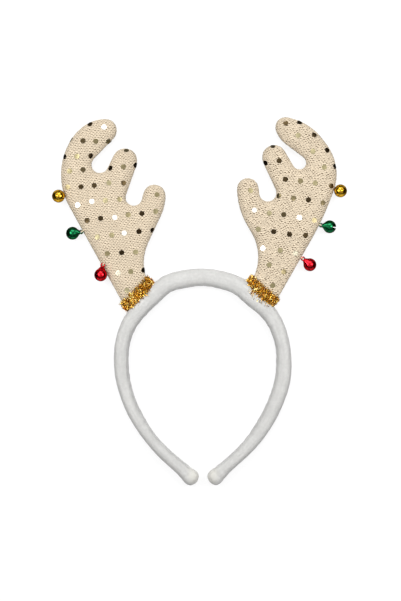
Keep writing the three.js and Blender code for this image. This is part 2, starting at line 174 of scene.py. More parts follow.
class BellSettings(bpy.types.PropertyGroup):
    radius: size_property("Radius", "Outer radius of a bell", 5 * MM)
    wall: size_property("Wall", "Thickness of the shell", 0.5 * MM)
    reach: size_property("Reach", "From the bell's middle to its loop's middle", 7.7 * MM)
    loop_radius: size_property("Loop radius", "To the middle of the loop's wire", 1.3 * MM)
    wire: size_property("Wire", "Thickness of the loop's wire", 1 * MM)
    hole: size_property("Slit end", "Diameter of the hole that ends a slit", 1.2 * MM)
    gold: colour_property("Gold", "Gold plate", (0.75, 0.42, 0.03))
    green: colour_property("Green", "Green paint", (0.004, 0.12, 0.04))
    red: colour_property("Red", "Red paint", (0.6, 0.008, 0.016))


class StageSettings(bpy.types.PropertyGroup):
    across: size_property("Across", "Width of the floor", 6.0)
    lens: FloatProperty(name="Lens", description="Focal length of the camera in millimetres", default=100)
    view_height: size_property("View height", "Height of the picture on the table", 0.4628)
    floor_colour: colour_property("Floor", "Colour of the floor", (0.2, 0.2, 0.2))
    floor_glow: FloatProperty(name="Floor glow", description="Light that the table gives by itself",
                              default=0.82)


SETTINGS = {
    "headband_roll": RollSettings,
    "headband_antlers": AntlerSettings,
    "headband_dots": DotSettings,
    "headband_tinsel": TinselSettings,
    "headband_bells": BellSettings,
    "headband_stage": StageSettings,
}


class Value:
    """An output in a finish. Python's operators on it add Math nodes."""

    def __init__(self, finish, socket):
        self.finish = finish
        self.socket = socket

    def maths(self, operation, *values):
        return self.finish.add("ShaderNodeMath", {"operation": operation}, dict(enumerate(values)))

    def __add__(self, other):
        return self.maths("ADD", self, other)

    def __radd__(self, other):
        return self.maths("ADD", other, self)

    def __sub__(self, other):
        return self.maths("SUBTRACT", self, other)

    def __rsub__(self, other):
        return self.maths("SUBTRACT", other, self)

    def __mul__(self, other):
        return self.maths("MULTIPLY", self, other)

    def __rmul__(self, other):
        return self.maths("MULTIPLY", other, self)

    def __truediv__(self, other):
        return self.maths("DIVIDE", self, other)

    def __pow__(self, other):
        return self.maths("POWER", self, other)

    def floor(self):
        return self.maths("FLOOR", self)

    def size(self):
        return self.maths("ABSOLUTE", self)

    def fraction(self):
        return self.maths("FRACT", self)

    def odd(self):
        return self.maths("FLOORED_MODULO", self, 2)


class Nodes:
    """The nodes of a material or of the world."""

    def __init__(self, tree):
        self.tree = tree

    def add(self, kind, settings=None, sockets=None, output=0):
        """A node of a type, with its settings and the values or links of its sockets."""
        node = self.tree.nodes.new(kind)
        for key, value in (settings or {}).items():
            if key == "stops":
                self.set_stops(node.color_ramp, value)
            else:
                setattr(node, key, value)
        for key, value in (sockets or {}).items():
            self.feed(node.inputs[key], value)
        return Value(self, node.outputs[output])

    def set_stops(self, ramp, stops):
        while len(ramp.elements) < len(stops):
            ramp.elements.new(1.0)
        for element, (position, colour) in zip(ramp.elements, stops):
            element.position = position
            element.color = (*colour, 1)

    def feed(self, socket, value):
        if isinstance(value, Value):
            self.tree.links.new(value.socket, socket)
        elif socket.type == "RGBA":
            socket.default_value = (*value, 1)
        else:
            socket.default_value = value

    def stretched(self, place, factors):
        return self.add("ShaderNodeVectorMath", {"operation": "MULTIPLY"}, {0: place, 1: factors})

    def axis(self, place, name):
        return self.add("ShaderNodeSeparateXYZ", None, {0: place}, output=name)

    def noise(self, place, scale, detail):
        return self.add("ShaderNodeTexNoise", None, {"Vector": place, "Scale": scale, "Detail": detail})

    def smooth(self, value, low, high):
        return self.add("ShaderNodeMapRange", {"interpolation_type": "SMOOTHSTEP"},
                        {"Value": value, "From Min": low, "From Max": high})

    def ramp(self, value, stops):
        return self.add("ShaderNodeValToRGB", {"stops": stops}, {"Fac": value})

    def mix(self, mask, first, second):
        return self.add("ShaderNodeMix", {"data_type": "RGBA"}, {0: mask, 6: first, 7: second}, output=2)


class Finish(Nodes):
    """The nodes of one material, round its Principled shader."""

    def __init__(self, name, **constants):
        self.material = bpy.data.materials.new(name)
        self.material.use_nodes = True
        super().__init__(self.material.node_tree)
        self.shader = self.tree.nodes["Principled BSDF"]
        self.show(**constants)

    def show(self, **values):
        """Feeds the shader's inputs, named with underscores, and returns the material."""
        for socket, value in values.items():
            self.feed(self.shader.inputs[socket.replace("_", " ")], value)
        return self.material

    def grain(self, scale, detail):
        """Noise over the object's own place, with its scale in cells to the metre."""
        return self.noise(self.add("ShaderNodeTexCoord", output="Object"), scale, detail)

    def attribute(self, name, output="Vector"):
        return self.add("ShaderNodeAttribute", {"attribute_name": name}, output=output)

    def bump(self, height, distance, strength=1.0):
        return self.add("ShaderNodeBump", None,
                        {"Height": height, "Distance": distance, "Strength": strength})


def shaded(colour, factor):
    return tuple(factor * channel for channel in colour)


def bmesh_of(mesh):
    bm = bmesh.new()
    bm.from_mesh(mesh)
    return bm


def mesh_of(bm, name):
    mesh = bpy.data.meshes.new(name)
    bm.to_mesh(mesh)
    bm.free()
    return mesh


def merged(node):
    """The mesh of a CAD node as a bmesh, with its corners joined."""
    bm = bmesh_of(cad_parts[node].data)
    bmesh.ops.remove_doubles(bm, verts=bm.verts, dist=MERGE)
    return bm


def surface(bm):
    """The surface of a bmesh, to be searched for near points and hits. The bmesh is freed."""
    tree = BVHTree.FromBMesh(bm)
    bm.free()
    return tree


def work_object(name, data):
    obj = bpy.data.objects.new(name, data)
    bpy.context.scene.collection.objects.link(obj)
    return obj


def work_solid(name, bm):
    return work_object(name, mesh_of(bm, name))


def finished(name, mesh, material, slot, *nodes):
    """A piece of the object, in place of CAD nodes."""
    obj = work_object(name, mesh)
    mesh.materials.clear()
    mesh.materials.append(material)
    mesh.polygons.foreach_set("use_smooth", [True] * len(mesh.polygons))
    mesh.set_sharp_from_angle(angle=SHARP_ANGLE)
    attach(obj, "root")
    if nodes:
        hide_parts(*nodes)
    return obj


def vectors_of(data, key):
    values = np.empty(len(data) * 3)
    data.foreach_get(key, values)
    return values.reshape(-1, 3)


def points_of(mesh):
    return vectors_of(mesh.vertices, "co")


def normals_of(mesh):
    return vectors_of(mesh.vertex_normals, "vector")


def move_points(mesh, points):
    mesh.vertices.foreach_set("co", points.astype(np.float32).ravel())
    mesh.update()


def store(mesh, name, values):
    """Keeps a number or a vector for each point of a mesh, for its finish."""
    kind, key = ("FLOAT", "value") if values.ndim == 1 else ("FLOAT_VECTOR", "vector")
    attribute = mesh.attributes.new(name, kind, "POINT")
    attribute.data.foreach_set(key, values.astype(np.float32).ravel())


def baked(obj):
    """The object's mesh with its modifiers applied."""
    graph = bpy.context.evaluated_depsgraph_get()
    return bpy.data.meshes.new_from_object(obj.evaluated_get(graph))


def step_between(value, low, high):
    share = np.clip((value - low) / (high - low), 0, 1)
    return share * share * (3 - 2 * share)


def ripple(place, rng, waves, shortest, longest):
    """A smooth wander between about -1 and 1, from a few sine waves over a place in the plane."""
    total = np.zeros(len(place))
    for _ in range(waves):
        length = rng.uniform(shortest, longest)
        angle = rng.uniform(0, math.tau)
        direction = np.array([math.cos(angle), math.sin(angle)])
        total += np.sin(place[:, :2] @ direction * math.tau / length + rng.uniform(0, math.tau))
    return total / math.sqrt(waves)


# Stuffed cloth
SIMULATION_STEPS = 20
RELAX_STEPS = 3
RELAX_FACTOR = 0.5
SUBDIVISIONS = 2


def even_cloth(node, cell):
    """A work object with a CAD node's surface, cut into even cells."""
    work = work_solid(f"{node}_cloth", merged(node))
    even = work.modifiers.new("Even cells", "REMESH")
    even.mode = "VOXEL"
    even.voxel_size = cell
    work.data = baked(work)
    work.modifiers.clear()
    return work


def blow_up(work, pressure, held):
    """Points of a cloth that is blown up from inside while some of it is held."""
    group = work.vertex_groups.new(name="held")
    group.add([int(k) for k in np.flatnonzero(held)], 1.0, "REPLACE")
    cloth = work.modifiers.new("Stuffing", "CLOTH")
    cloth.settings.use_pressure = True
    cloth.settings.uniform_pressure_force = pressure
    cloth.settings.vertex_group_mass = group.name
    cloth.settings.effector_weights.gravity = 0
    cloth.point_cache.frame_start = 1
    cloth.point_cache.frame_end = SIMULATION_STEPS
    for step in range(1, SIMULATION_STEPS + 1):
        bpy.context.scene.frame_set(step)
    mesh = baked(work)
    points = points_of(mesh)
    bpy.data.meshes.remove(mesh)
    work.modifiers.remove(cloth)
    bpy.context.scene.frame_set(1)
    return points


def stuffed(node, cell, pressure, puff, held_where, stretch, keeps_girth=False):
    """A fine mesh of a CAD node's solid as stuffed cloth, swollen by so much across, along and up."""
    work = even_cloth(node, cell)
    bm = bmesh_of(work.data)
    solid = surface(merged(node))
    for _ in range(RELAX_STEPS):
        bmesh.ops.smooth_vert(bm, verts=bm.verts, factor=RELAX_FACTOR, use_axis_x=True, use_axis_y=True,
                              use_axis_z=True)
        for vert in bm.verts:
            vert.co = solid.find_nearest(vert.co)[0]
    bm.to_mesh(work.data)
    bm.free()
    rest = points_of(work.data)
    normals = normals_of(work.data)
    swell = blow_up(work, pressure, held_where(rest)) - rest
    length = np.linalg.norm(swell, axis=1, keepdims=True)
    swell *= np.array(stretch) / (1 + length / puff)
    if keeps_girth:
        swell -= normals * (swell * normals).sum(axis=1).mean()
    move_points(work.data, rest + swell)
    fine = work.modifiers.new("Fine cells", "SUBSURF")
    fine.levels = fine.render_levels = SUBDIVISIONS
    mesh = baked(work)
    bpy.data.objects.remove(work)
    return mesh


# Padded roll
ROLL_PRESSURE = 3.0
ROLL_SEED = 3
ROLL_RADIUS = 5 * MM
LINE_STEPS = 150
LINE_PARTS = 40
MOUTH_ANGLE = math.radians(3.5)
SEAM_ANGLE = math.radians(-140)
SEAM_SPREAD = 0.6 * MM
PUCKER_STEP = 4 * MM
PUCKER_SHARE = 0.2
CREASE_DEPTH = 0.22 * MM
CREASE_SPREAD = 1.1 * MM
CREASE_SWAY = 1.2 * MM
HOLLOW_DEPTH = 0.16 * MM
HOLLOW_WAVES = (18 * MM, 60 * MM)
WRINKLE_DEPTH = 0.13 * MM
WRINKLE_WAVES = (3 * MM, 9 * MM)
WRINKLE_STRETCH = (1, 0.3)
OUTER_WRINKLES = 0.35
INNER_SIDE = (-0.2, 0.9)
TIP_SLANT = 0.7
TIP_FADE = (-6 * MM, 2 * MM)


def hoop_line(tree, low, high):
    """Points down the middle of the roll, from its right end over the crown to its left end."""
    middle = low.lerp(high, 0.5)
    line = []
    for k in range(LINE_STEPS + 1):
        angle = -math.pi / 2 + MOUTH_ANGLE + k / LINE_STEPS * (math.tau - 2 * MOUTH_ANGLE)
        direction = Vector((math.cos(angle), math.sin(angle), 0))
        inner = tree.ray_cast(middle, direction)[0]
        outer = tree.ray_cast(inner + direction * 0.1 * MM, direction)[0]
        line.append((inner + outer) / 2)
    return np.array(line)


def roll_places(points, line):
    """Each point's place on the straightened roll: along it, outwards from its middle, and up."""
    chords = np.diff(line, axis=0)
    lengths = np.linalg.norm(chords, axis=1)
    ahead = chords / lengths[:, None]
    starts = np.concatenate([[0], np.cumsum(lengths)[:-1]])
    middles = (line[:-1] + line[1:]) / 2
    nearest = np.concatenate([
        np.argmin(((part[:, None, :2] - middles[None, :, :2]) ** 2).sum(axis=2), axis=1)
        for part in np.array_split(points, LINE_PARTS)])
    offset = points - line[nearest]
    run = ahead[nearest]
    outward = np.stack([run[:, 1], -run[:, 0]], axis=1)
    return np.stack([
        starts[nearest] + (offset * run).sum(axis=1),
        (offset[:, :2] * outward).sum(axis=1),
        offset[:, 2],
    ], axis=1), lengths.sum()


def shape_roll(mesh, line, settings, rng):
    """Seam, end creases, soft dents and cross wrinkles of the roll."""
    points, normals = points_of(mesh), normals_of(mesh)
    place, length = roll_places(points, line)
    along, outward, height = place.T
    radius = np.hypot(outward, height)
    turn = np.arctan2(height, outward)
    from_seam = np.abs((turn - SEAM_ANGLE + math.pi) % math.tau - math.pi) * radius
    pucker = 1 - PUCKER_SHARE + PUCKER_SHARE * np.cos(along / PUCKER_STEP * math.tau)
    relief = -settings.seam_depth * pucker * np.exp(-((from_seam / SEAM_SPREAD) ** 2))
    from_end = np.minimum(along, length - along)
    crease = settings.tip_length + CREASE_SWAY * np.sin(2 * turn + 0.6)
    relief -= CREASE_DEPTH * np.exp(-(((from_end - crease) / CREASE_SPREAD) ** 2))
    rolled = np.stack([along, turn * ROLL_RADIUS], axis=1)
    relief += HOLLOW_DEPTH * ripple(rolled, rng, 6, *HOLLOW_WAVES)
    inner = step_between(-outward / np.maximum(radius, MM), *INNER_SIDE)
    wrinkles = ripple(rolled * WRINKLE_STRETCH, rng, 7, *WRINKLE_WAVES)
    relief += WRINKLE_DEPTH * (OUTER_WRINKLES + (1 - OUTER_WRINKLES) * inner) * wrinkles
    points += normals * relief[:, None]
    points[:, 2] = np.maximum(points[:, 2], 0)
    move_points(mesh, points)
    store(mesh, "roll_place", place / MM)
    from_tip = from_end + outward * TIP_SLANT - settings.tip_length
    store(mesh, "tip", 1 - step_between(from_tip, *TIP_FADE))


def nap_finish(settings):
    finish = Finish("White nap", Roughness=0.95, Sheen_Weight=0.55, Sheen_Roughness=0.5,
                    Specular_IOR_Level=0.15)
    place = finish.attribute("roll_place")
    streaks = finish.noise(finish.stretched(place, (0.045, 0.55, 0.55)), 1.0, 3.0)
    blotches = finish.noise(finish.stretched(place, (0.12, 0.12, 0.12)), 1.0, 2.0)
    outward = finish.axis(place, "Y")
    # The roll's inner side is darkened with the flattened nap's colour: painted shade. The streaks and
    # blotches are flattened nap.
    inner = 1 - finish.smooth(outward, -5.0, 2.5)
    flat_nap_and_inner_shade = finish.smooth(streaks * 0.6 + blotches * 0.4, 0.36, 0.64) * 0.35 + inner * 0.12
    body = finish.mix(flat_nap_and_inner_shade, settings.nap_colour, settings.flat_nap_and_shade_colour)
    mottle = finish.grain(500.0, 4.0)
    tufted = finish.mix(finish.smooth(mottle, 0.3, 0.7) * 0.3, body, settings.flat_nap_and_shade_colour)
    colour = finish.mix(finish.attribute("tip", "Fac") * (mottle + 0.1), tufted, settings.tip_colour)
    fibres = finish.grain(2600.0, 3.0)
    combed = finish.noise(finish.stretched(place, (1.1, 3.2, 3.2)), 1.0, 3.0)
    normal = finish.bump(fibres * 0.5 + combed * 0.5, 0.16 * MM, 0.7)
    return finish.show(Base_Color=colour, Normal=normal)


class HEADBAND_OT_roll(bpy.types.Operator):
    """Make the padded roll from the headband's solid"""

    bl_idname = "headband.roll"
    bl_label = "Padded roll"

    def execute(self, context):
        settings = context.scene.headband_roll
        low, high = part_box("headband")
        line = hoop_line(surface(merged("headband")), low, high)

        def held(points):
            return np.zeros(len(points), bool)

        mesh = stuffed("headband", settings.cell, ROLL_PRESSURE, settings.puff, held, (1, 1, 1),
                       keeps_girth=True)
        shape_roll(mesh, line, settings, np.random.default_rng(ROLL_SEED))
        roll = finished("padded_roll", mesh, nap_finish(settings), "white_nap", "headband")
        SKINS["headband"] = surface(bmesh_of(mesh))
        return {"FINISHED"}


# Antlers
ANTLER_PRESSURE = 3.0
ANTLER_STRETCH = (0.2, 0.2, 1)
SEAM_HALF = 1.1 * MM
RIM_SEAM_SPREAD = 0.5 * MM
FOOT_CLEAR = 2.5 * MM
RIM_WIDTH = 7.3 * MM
RIM_HEIGHT = 5.5 * MM
RIM_FACING = (0.5, 0.9)
TABLE_GAP = 0.05 * MM
DENT_DEPTH = 0.25 * MM
DENT_WAVES = (14 * MM, 45 * MM)
HOLE_EDGE = (0.6, 1.5)

# Waves, in millimetres, by which the knit's rows wander and its stitches are uneven, and how far its two
# faces are moved apart so that their patterns differ
WANDER_WAVES = (9, 40)
UNEVEN_WAVES = (2.5, 7)
FACE_SHIFT = 50


def knit_place(points, normals, knit, rng):
    """Each point's place on the knit, laid flat round the rounded rim, in millimetres."""
    across = np.linalg.norm(normals[:, :2], axis=1)
    turn = np.arctan2(RIM_WIDTH * across, RIM_HEIGHT * np.abs(normals[:, 2]))
    extra = (RIM_WIDTH + RIM_HEIGHT) / 2 * turn - RIM_WIDTH * np.sin(turn)
    outward = normals[:, :2] / np.maximum(across, MERGE)[:, None]
    flat = (points[:, :2] + outward * extra[:, None]) / MM
    slope = math.radians(knit.slope)
    turned = flat @ np.array([[math.cos(slope), -math.sin(slope)], [math.sin(slope), math.cos(slope)]])
    wander = np.stack([ripple(flat, rng, 5, *WANDER_WAVES) for _ in range(2)], axis=1)
    uneven = np.stack([ripple(flat, rng, 8, *UNEVEN_WAVES) for _ in range(2)], axis=1)
    place = turned + wander * knit.wander + uneven * knit.unevenness
    return np.concatenate([place, (np.sign(normals[:, 2]) * FACE_SHIFT)[:, None]], axis=1)


def knit_holes(place, settings):
    """How deep each place lies in a hole of the knit, from 0 to 1."""
    stitch, row = settings.stitch / MM, settings.row / MM
    line = place[:, 1] / row
    shift = 0.5 * (np.floor(line) % 2)
    across = ((place[:, 0] / stitch + shift) % 1 - 0.5) * settings.stitch
    along = (line % 1 - 0.5) * settings.row
    reach = np.hypot(across / (settings.hole_width / 2), along / (settings.hole_height / 2))
    return 1 - step_between(reach, *HOLE_EDGE)


def shape_antler(mesh, node, settings):
    """Dents, the seam round the rim and the relief of the knit."""
    rng = np.random.default_rng(len(node))
    points, normals = points_of(mesh), normals_of(mesh)
    low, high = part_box(node)
    place = knit_place(points, normals, KNITS[node], rng)
    from_seam = np.abs(points[:, 2] - (low.z + high.z) / 2)
    on_rim = step_between(np.linalg.norm(normals[:, :2], axis=1), *RIM_FACING)
    dents = DENT_DEPTH * ripple(points, rng, 6, *DENT_WAVES) * (1 - on_rim)
    points += normals * dents[:, None]
    move_points(mesh, points)
    SKINS[node] = surface(bmesh_of(mesh))
    seam = on_rim * np.exp(-((from_seam / RIM_SEAM_SPREAD) ** 2))
    relief = -settings.relief * knit_holes(place, settings) * (1 - seam) - settings.seam_depth * seam
    points += normals * relief[:, None]
    points[:, 2] = np.maximum(points[:, 2], TABLE_GAP)
    move_points(mesh, points)
    store(mesh, "knit_place", place)
    store(mesh, "seam", seam)
    store(mesh, "openness", np.full(len(points), KNITS[node].openness))


def knit_finish(settings):
    finish = Finish("Beige knit", Roughness=0.9, Sheen_Weight=0.2, Sheen_Roughness=0.5,
                    Specular_IOR_Level=0.2)
    place = finish.attribute("knit_place")
    across = finish.axis(place, "X")
    along = finish.axis(place, "Y")
    line = along / (settings.row / MM)
    shift = line.floor().odd() * 0.5
    column = (across / (settings.stitch / MM) + shift).fraction() - 0.5
    beside = column * (settings.stitch / (settings.hole_width / 2))
    above = (line.fraction() - 0.5) * (settings.row / (settings.hole_height / 2))
    reach = (beside * beside + above * above) ** 0.5
    stitches = finish.add("ShaderNodeCombineXYZ", None, {
        "X": (across / (settings.stitch / MM) + shift).floor(), "Y": line.floor()})
    chance = finish.add("ShaderNodeTexWhiteNoise", {"noise_dimensions": "2D"}, {"Vector": stitches},
                        output="Value")
    hole = 1 - finish.smooth(reach, 0.45, 1.4)
    patches = finish.noise(finish.stretched(place, (0.1, 0.1, 0.1)), 1.0, 3.0)
    openness = finish.attribute("openness", "Fac") * (chance * 2.2 - 0.9)
    # How dark each hole is painted: painted shade inside the hole
    depth = hole * (0.35 + chance * 0.65 + openness) * (0.5 + patches * 0.9)
    # Yarn between the rows of holes is painted brighter: a painted highlight on the raised rib. The
    # patches, plies and chance shares are random tone.
    rib_highlight = (line.fraction() - 0.5).size() * 2
    plies = finish.noise(finish.stretched(place, (0.8, 2.4, 1.0)), 1.0, 2.0)
    tint = finish.mix(finish.smooth(patches * 0.3 + plies * 0.3 + rib_highlight * 0.25 + chance * 0.15, 0.25, 0.75),
                      shaded(settings.yarn_colour, 0.82), shaded(settings.yarn_colour, 1.16))
    # The holes take the hole colour: painted shade inside them
    colour = finish.mix(depth, tint, settings.hole_shade_colour)
    # The rim seam's groove is darkened with the hole colour: painted shade in the groove
    with_seam_shade = finish.mix(finish.attribute("seam", "Fac") * 0.5, colour, settings.hole_shade_colour)
    threads = finish.grain(2200.0, 3.0)
    normal = finish.bump(threads * 0.5 + plies * 0.5 - hole, 0.25 * MM, 0.6)
    return finish.show(Base_Color=with_seam_shade, Normal=normal)


class HEADBAND_OT_antlers(bpy.types.Operator):
    """Make the two stuffed antlers of openwork knit"""

    bl_idname = "headband.antlers"
    bl_label = "Knit antlers"

    def execute(self, context):
        settings = context.scene.headband_antlers
        finish = knit_finish(settings)
        hoop = surface(merged("headband"))
        for node in ANTLERS:
            low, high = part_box(node)

            def held(points, level=(low.z + high.z) / 2):
                at_seam = np.abs(points[:, 2] - level) < SEAM_HALF
                at_foot = [hoop.find_nearest(Vector(point), FOOT_CLEAR)[0] is not None for point in points]
                return at_seam | np.array(at_foot)

            mesh = stuffed(node, settings.cell, ANTLER_PRESSURE, settings.puff, held, ANTLER_STRETCH)
            shape_antler(mesh, node, settings)
            antler = finished(f"knit_{node}", mesh, finish, "beige_knit", node)
        return {"FINISHED"}


def joined_copies(name, template, places):
    """One mesh of many copies of a small mesh, each with its points at given places."""
    corners = [[vert.index for vert in face.verts] for face in template.faces]
    count = len(template.verts)
    faces = [[corner + copy * count for corner in face] for copy in range(len(places)) for face in corners]
    mesh = bpy.data.meshes.new(name)
    mesh.from_pydata(np.concatenate(places).tolist(), [], faces)
    mesh.update()
    return mesh


# Foil dots
DOT_SEGMENTS = 18
DOT_RINGS = 2
DOT_LIFT = 0.16 * MM
DOT_JITTER = 0.35
DOT_BEND = 0.16 * MM
FLAT_ENOUGH = 0.9
# Share of its tone that a dot on a steep slope keeps: painted dark reflection
STEEP_DARK_REFLECTION = 0.55
CAST_FROM = 60 * MM

# Colours of the dots by their tone: dark, brown and dull gold, and a bright mirror for the highest tones.
# All dots are one foil, so these tones are painted reflection: the dark tones paint a mirrored dark studio
# and the brightest a mirrored light.
DOT_REFLECTION_COLOURS = (
    (0.0, (0.02, 0.013, 0.006)),
    (0.3, (0.06, 0.042, 0.02)),
    (0.42, (0.2, 0.165, 0.09)),
    (0.6, (0.3, 0.26, 0.145)),
    (0.84, (0.37, 0.325, 0.195)),
    (0.88, (0.98, 0.96, 0.9)),
)


def dot_template(settings):
    bm = bmesh.new()
    bmesh.ops.create_circle(bm, cap_ends=True, segments=DOT_SEGMENTS, radius=settings.diameter / 2)
    for _ in range(DOT_RINGS):
        inner = [face for face in bm.faces if len(face.verts) == DOT_SEGMENTS]
        bmesh.ops.inset_region(bm, faces=inner, thickness=settings.diameter / 2 / (DOT_RINGS + 1))
    bmesh.ops.poke(bm, faces=[face for face in bm.faces if len(face.verts) == DOT_SEGMENTS])
    bmesh.ops.solidify(bm, geom=list(bm.faces), thickness=settings.thickness)
    bmesh.ops.recalc_face_normals(bm, faces=bm.faces)
    bm.verts.index_update()
    return bm


def dot_spots(node, facing, rng, tones):
    """Where dots meet the antler, seen from above or below, with the tone of each."""
    low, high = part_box(node)
    middle = (low + high) / 2
    for row in DOT_ROWS[node]:
        for k in range(row.dots):
            across = row.across + k * row.step + rng.normal(0, DOT_JITTER)
            up = row.up + k * row.rise + rng.normal(0, DOT_JITTER)
            tone = tones.uniform()
            start = Vector((middle.x + across * MM, middle.y + up * MM, facing * CAST_FROM))
            hit, normal, _, _ = SKINS[node].ray_cast(start, Vector((0, 0, -facing)))
            if hit is not None:
                # Dots on steep slopes get darker tones: painted dark reflection
                yield hit, normal, tone if abs(normal.z) > FLAT_ENOUGH else STEEP_DARK_REFLECTION * tone


def dot_points(local, hit, normal, skin, turn, lean, bend):
    """Points of a dot that lies on the knit, leans a little and is slightly bent."""
    side = Matrix.Rotation(turn, 3, normal) @ normal.orthogonal().normalized()
    other = normal.cross(side)
    points = []
    for x, y, z in local:
        spot = hit + side * x + other * y
        seat, seat_normal, _, _ = skin.find_nearest(spot)
        rise = DOT_LIFT + z + lean[0] * x + lean[1] * y + bend * x * x
        points.append(seat + seat_normal * max(rise, 0))
    return np.array(points)


def dot_finish():
    finish = Finish("Foil dots", Metallic=1.0, Roughness=0.34)
    # The tone picks each dot's painted reflection colour
    colour = finish.ramp(finish.attribute("tone", "Fac"), DOT_REFLECTION_COLOURS)
    crumple = finish.grain(420.0, 2.0)
    return finish.show(Base_Color=colour, Normal=finish.bump(crumple, 0.2 * MM, 0.25))


class HEADBAND_OT_dots(bpy.types.Operator):
    """Lay the foil dots on both faces of the antlers"""

    bl_idname = "headband.dots"
    bl_label = "Foil dots"

    def execute(self, context):
        settings = context.scene.headband_dots
        finish = dot_finish()
        template = dot_template(settings)
        local = [tuple(vert.co) for vert in template.verts]
        steepest = settings.lean / (settings.diameter / 2)
        for number, node in enumerate(ANTLERS):
            rng = np.random.default_rng(settings.seed + number)
            shades = np.random.default_rng(settings.tone_seed + number)
            places, tones = [], []
            for facing in (1, -1):
                for hit, normal, tone in dot_spots(node, facing, rng, shades):
                    turn, lean = rng.uniform(0, math.tau), rng.uniform(-steepest, steepest, 2)
                    bend = rng.uniform(-1, 1) * DOT_BEND / (settings.diameter / 2) ** 2
                    places.append(dot_points(local, hit, normal, SKINS[node], turn, lean, bend))
                    tones.append(tone)
            mesh = joined_copies(f"{node}_dots", template, places)
            store(mesh, "tone", np.repeat(tones, len(local)))
            finished(f"{node}_dots", mesh, finish, "gold_foil")
        template.free()
        return {"FINISHED"}


# Tinsel
STRIP_CUTS = 2
STRIP_THICKNESS = 0.05 * MM
STRIP_LENGTHS = (0.7, 1.25)
STRIP_CURL = 0.35
STRIP_TAPER = 0.3
ROOT_DEPTH = 1.5 * MM
CORE_CELL = 0.9 * MM
CORE_SINK = 0.9 * MM
CORE_TONE = 0.15
CAST_LIFT = 0.05 * MM
NEAR_CLOTH = 2.2 * MM
HALF_GARLAND = 4.5 * MM
NAP_DEPTH = 0.4 * MM
OVER_BAND = {"left": 0.0, "right": 2.6 * MM}
LEAST_SPREAD = math.radians(40)
WIDEST_SPREAD = math.radians(100)
SIDEWAYS_SPREAD = 0.28
LEAST_FACING = 0.2
UPWARD_FACING = 0.3
MIDDLE_TONE = 1.1
END_DARKENING = 0.5

# Colours of the foil by the tone of its strip
FOIL_COLOURS = (
    (0.0, (0.14, 0.045, 0.005)),
    (0.3, (0.55, 0.24, 0.025)),
    (0.5, (0.98, 0.64, 0.1)),
    (1.0, (1.0, 0.88, 0.36)),
)


def strip_template():
    """A thin strip from 0 to 1 along Y, 1 wide and 1 thick round the middle."""
    bm = bmesh.new()
    bmesh.ops.create_cube(bm, size=1.0)
    bmesh.ops.translate(bm, verts=bm.verts, vec=(0, 0.5, 0))
    long_edges = [edge for edge in bm.edges if abs(edge.verts[0].co.y - edge.verts[1].co.y) > 0.5]
    bmesh.ops.subdivide_edges(bm, edges=long_edges, cuts=STRIP_CUTS)
    bm.verts.index_update()
    return bm


def surface_samples(node, count, rng):
    """Even random places on a CAD node's surface, with the way that the surface faces."""
    bm = merged(node)
    bmesh.ops.triangulate(bm, faces=bm.faces)
    corners = np.array([[vert.co for vert in face.verts] for face in bm.faces])
    normals = np.array([face.normal for face in bm.faces])
    areas = np.array([face.calc_area() for face in bm.faces])
    bm.free()
    picks = rng.choice(len(areas), count, p=areas / areas.sum())
    first, second = rng.uniform(size=(2, count))
    over = first + second > 1
    first[over], second[over] = 1 - first[over], 1 - second[over]
    start, right, left = corners[picks].transpose(1, 0, 2)
    places = start + first[:, None] * (right - start) + second[:, None] * (left - start)
    return places, normals[picks]


def collar_core(node):
    """The dark heart of the garland, a little inside its solid."""
    work = even_cloth(node, CORE_CELL)
    mesh = work.data
    bpy.data.objects.remove(work)
    move_points(mesh, points_of(mesh) - CORE_SINK * normals_of(mesh))
    store(mesh, "tone", np.full(len(mesh.vertices), CORE_TONE))
    return mesh


def strip_points(local, root, direction, face, settings, rng):
    """Points of one curled strip of foil."""
    side = direction.cross(face).normalized()
    away = side.cross(direction).normalized()
    twist = Matrix.Rotation(rng.uniform(0, math.pi), 3, direction)
    side, away = twist @ side, twist @ away
    length = settings.length * rng.uniform(*STRIP_LENGTHS)
    curl = rng.uniform(-STRIP_CURL, STRIP_CURL)
    points = []
    for x, y, z in local:
        narrow = settings.width * (1 - STRIP_TAPER * y)
        point = root + direction * (length * y) + away * (length * curl * y * y)
        point += side * (x * narrow) + away * (z * STRIP_THICKNESS)
        point.z = max(point.z, TABLE_GAP)
        points.append(point)
    return np.array(points)


def garland_line(node, hoop):
    """The middle of a garland, half of its length, and the way outwards from the hoop."""
    low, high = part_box(node)
    middle = (low + high) / 2
    outward = hoop.find_nearest(middle)[1]
    outward.z = 0
    return middle, (high - low).xy.length / 2, outward.normalized()


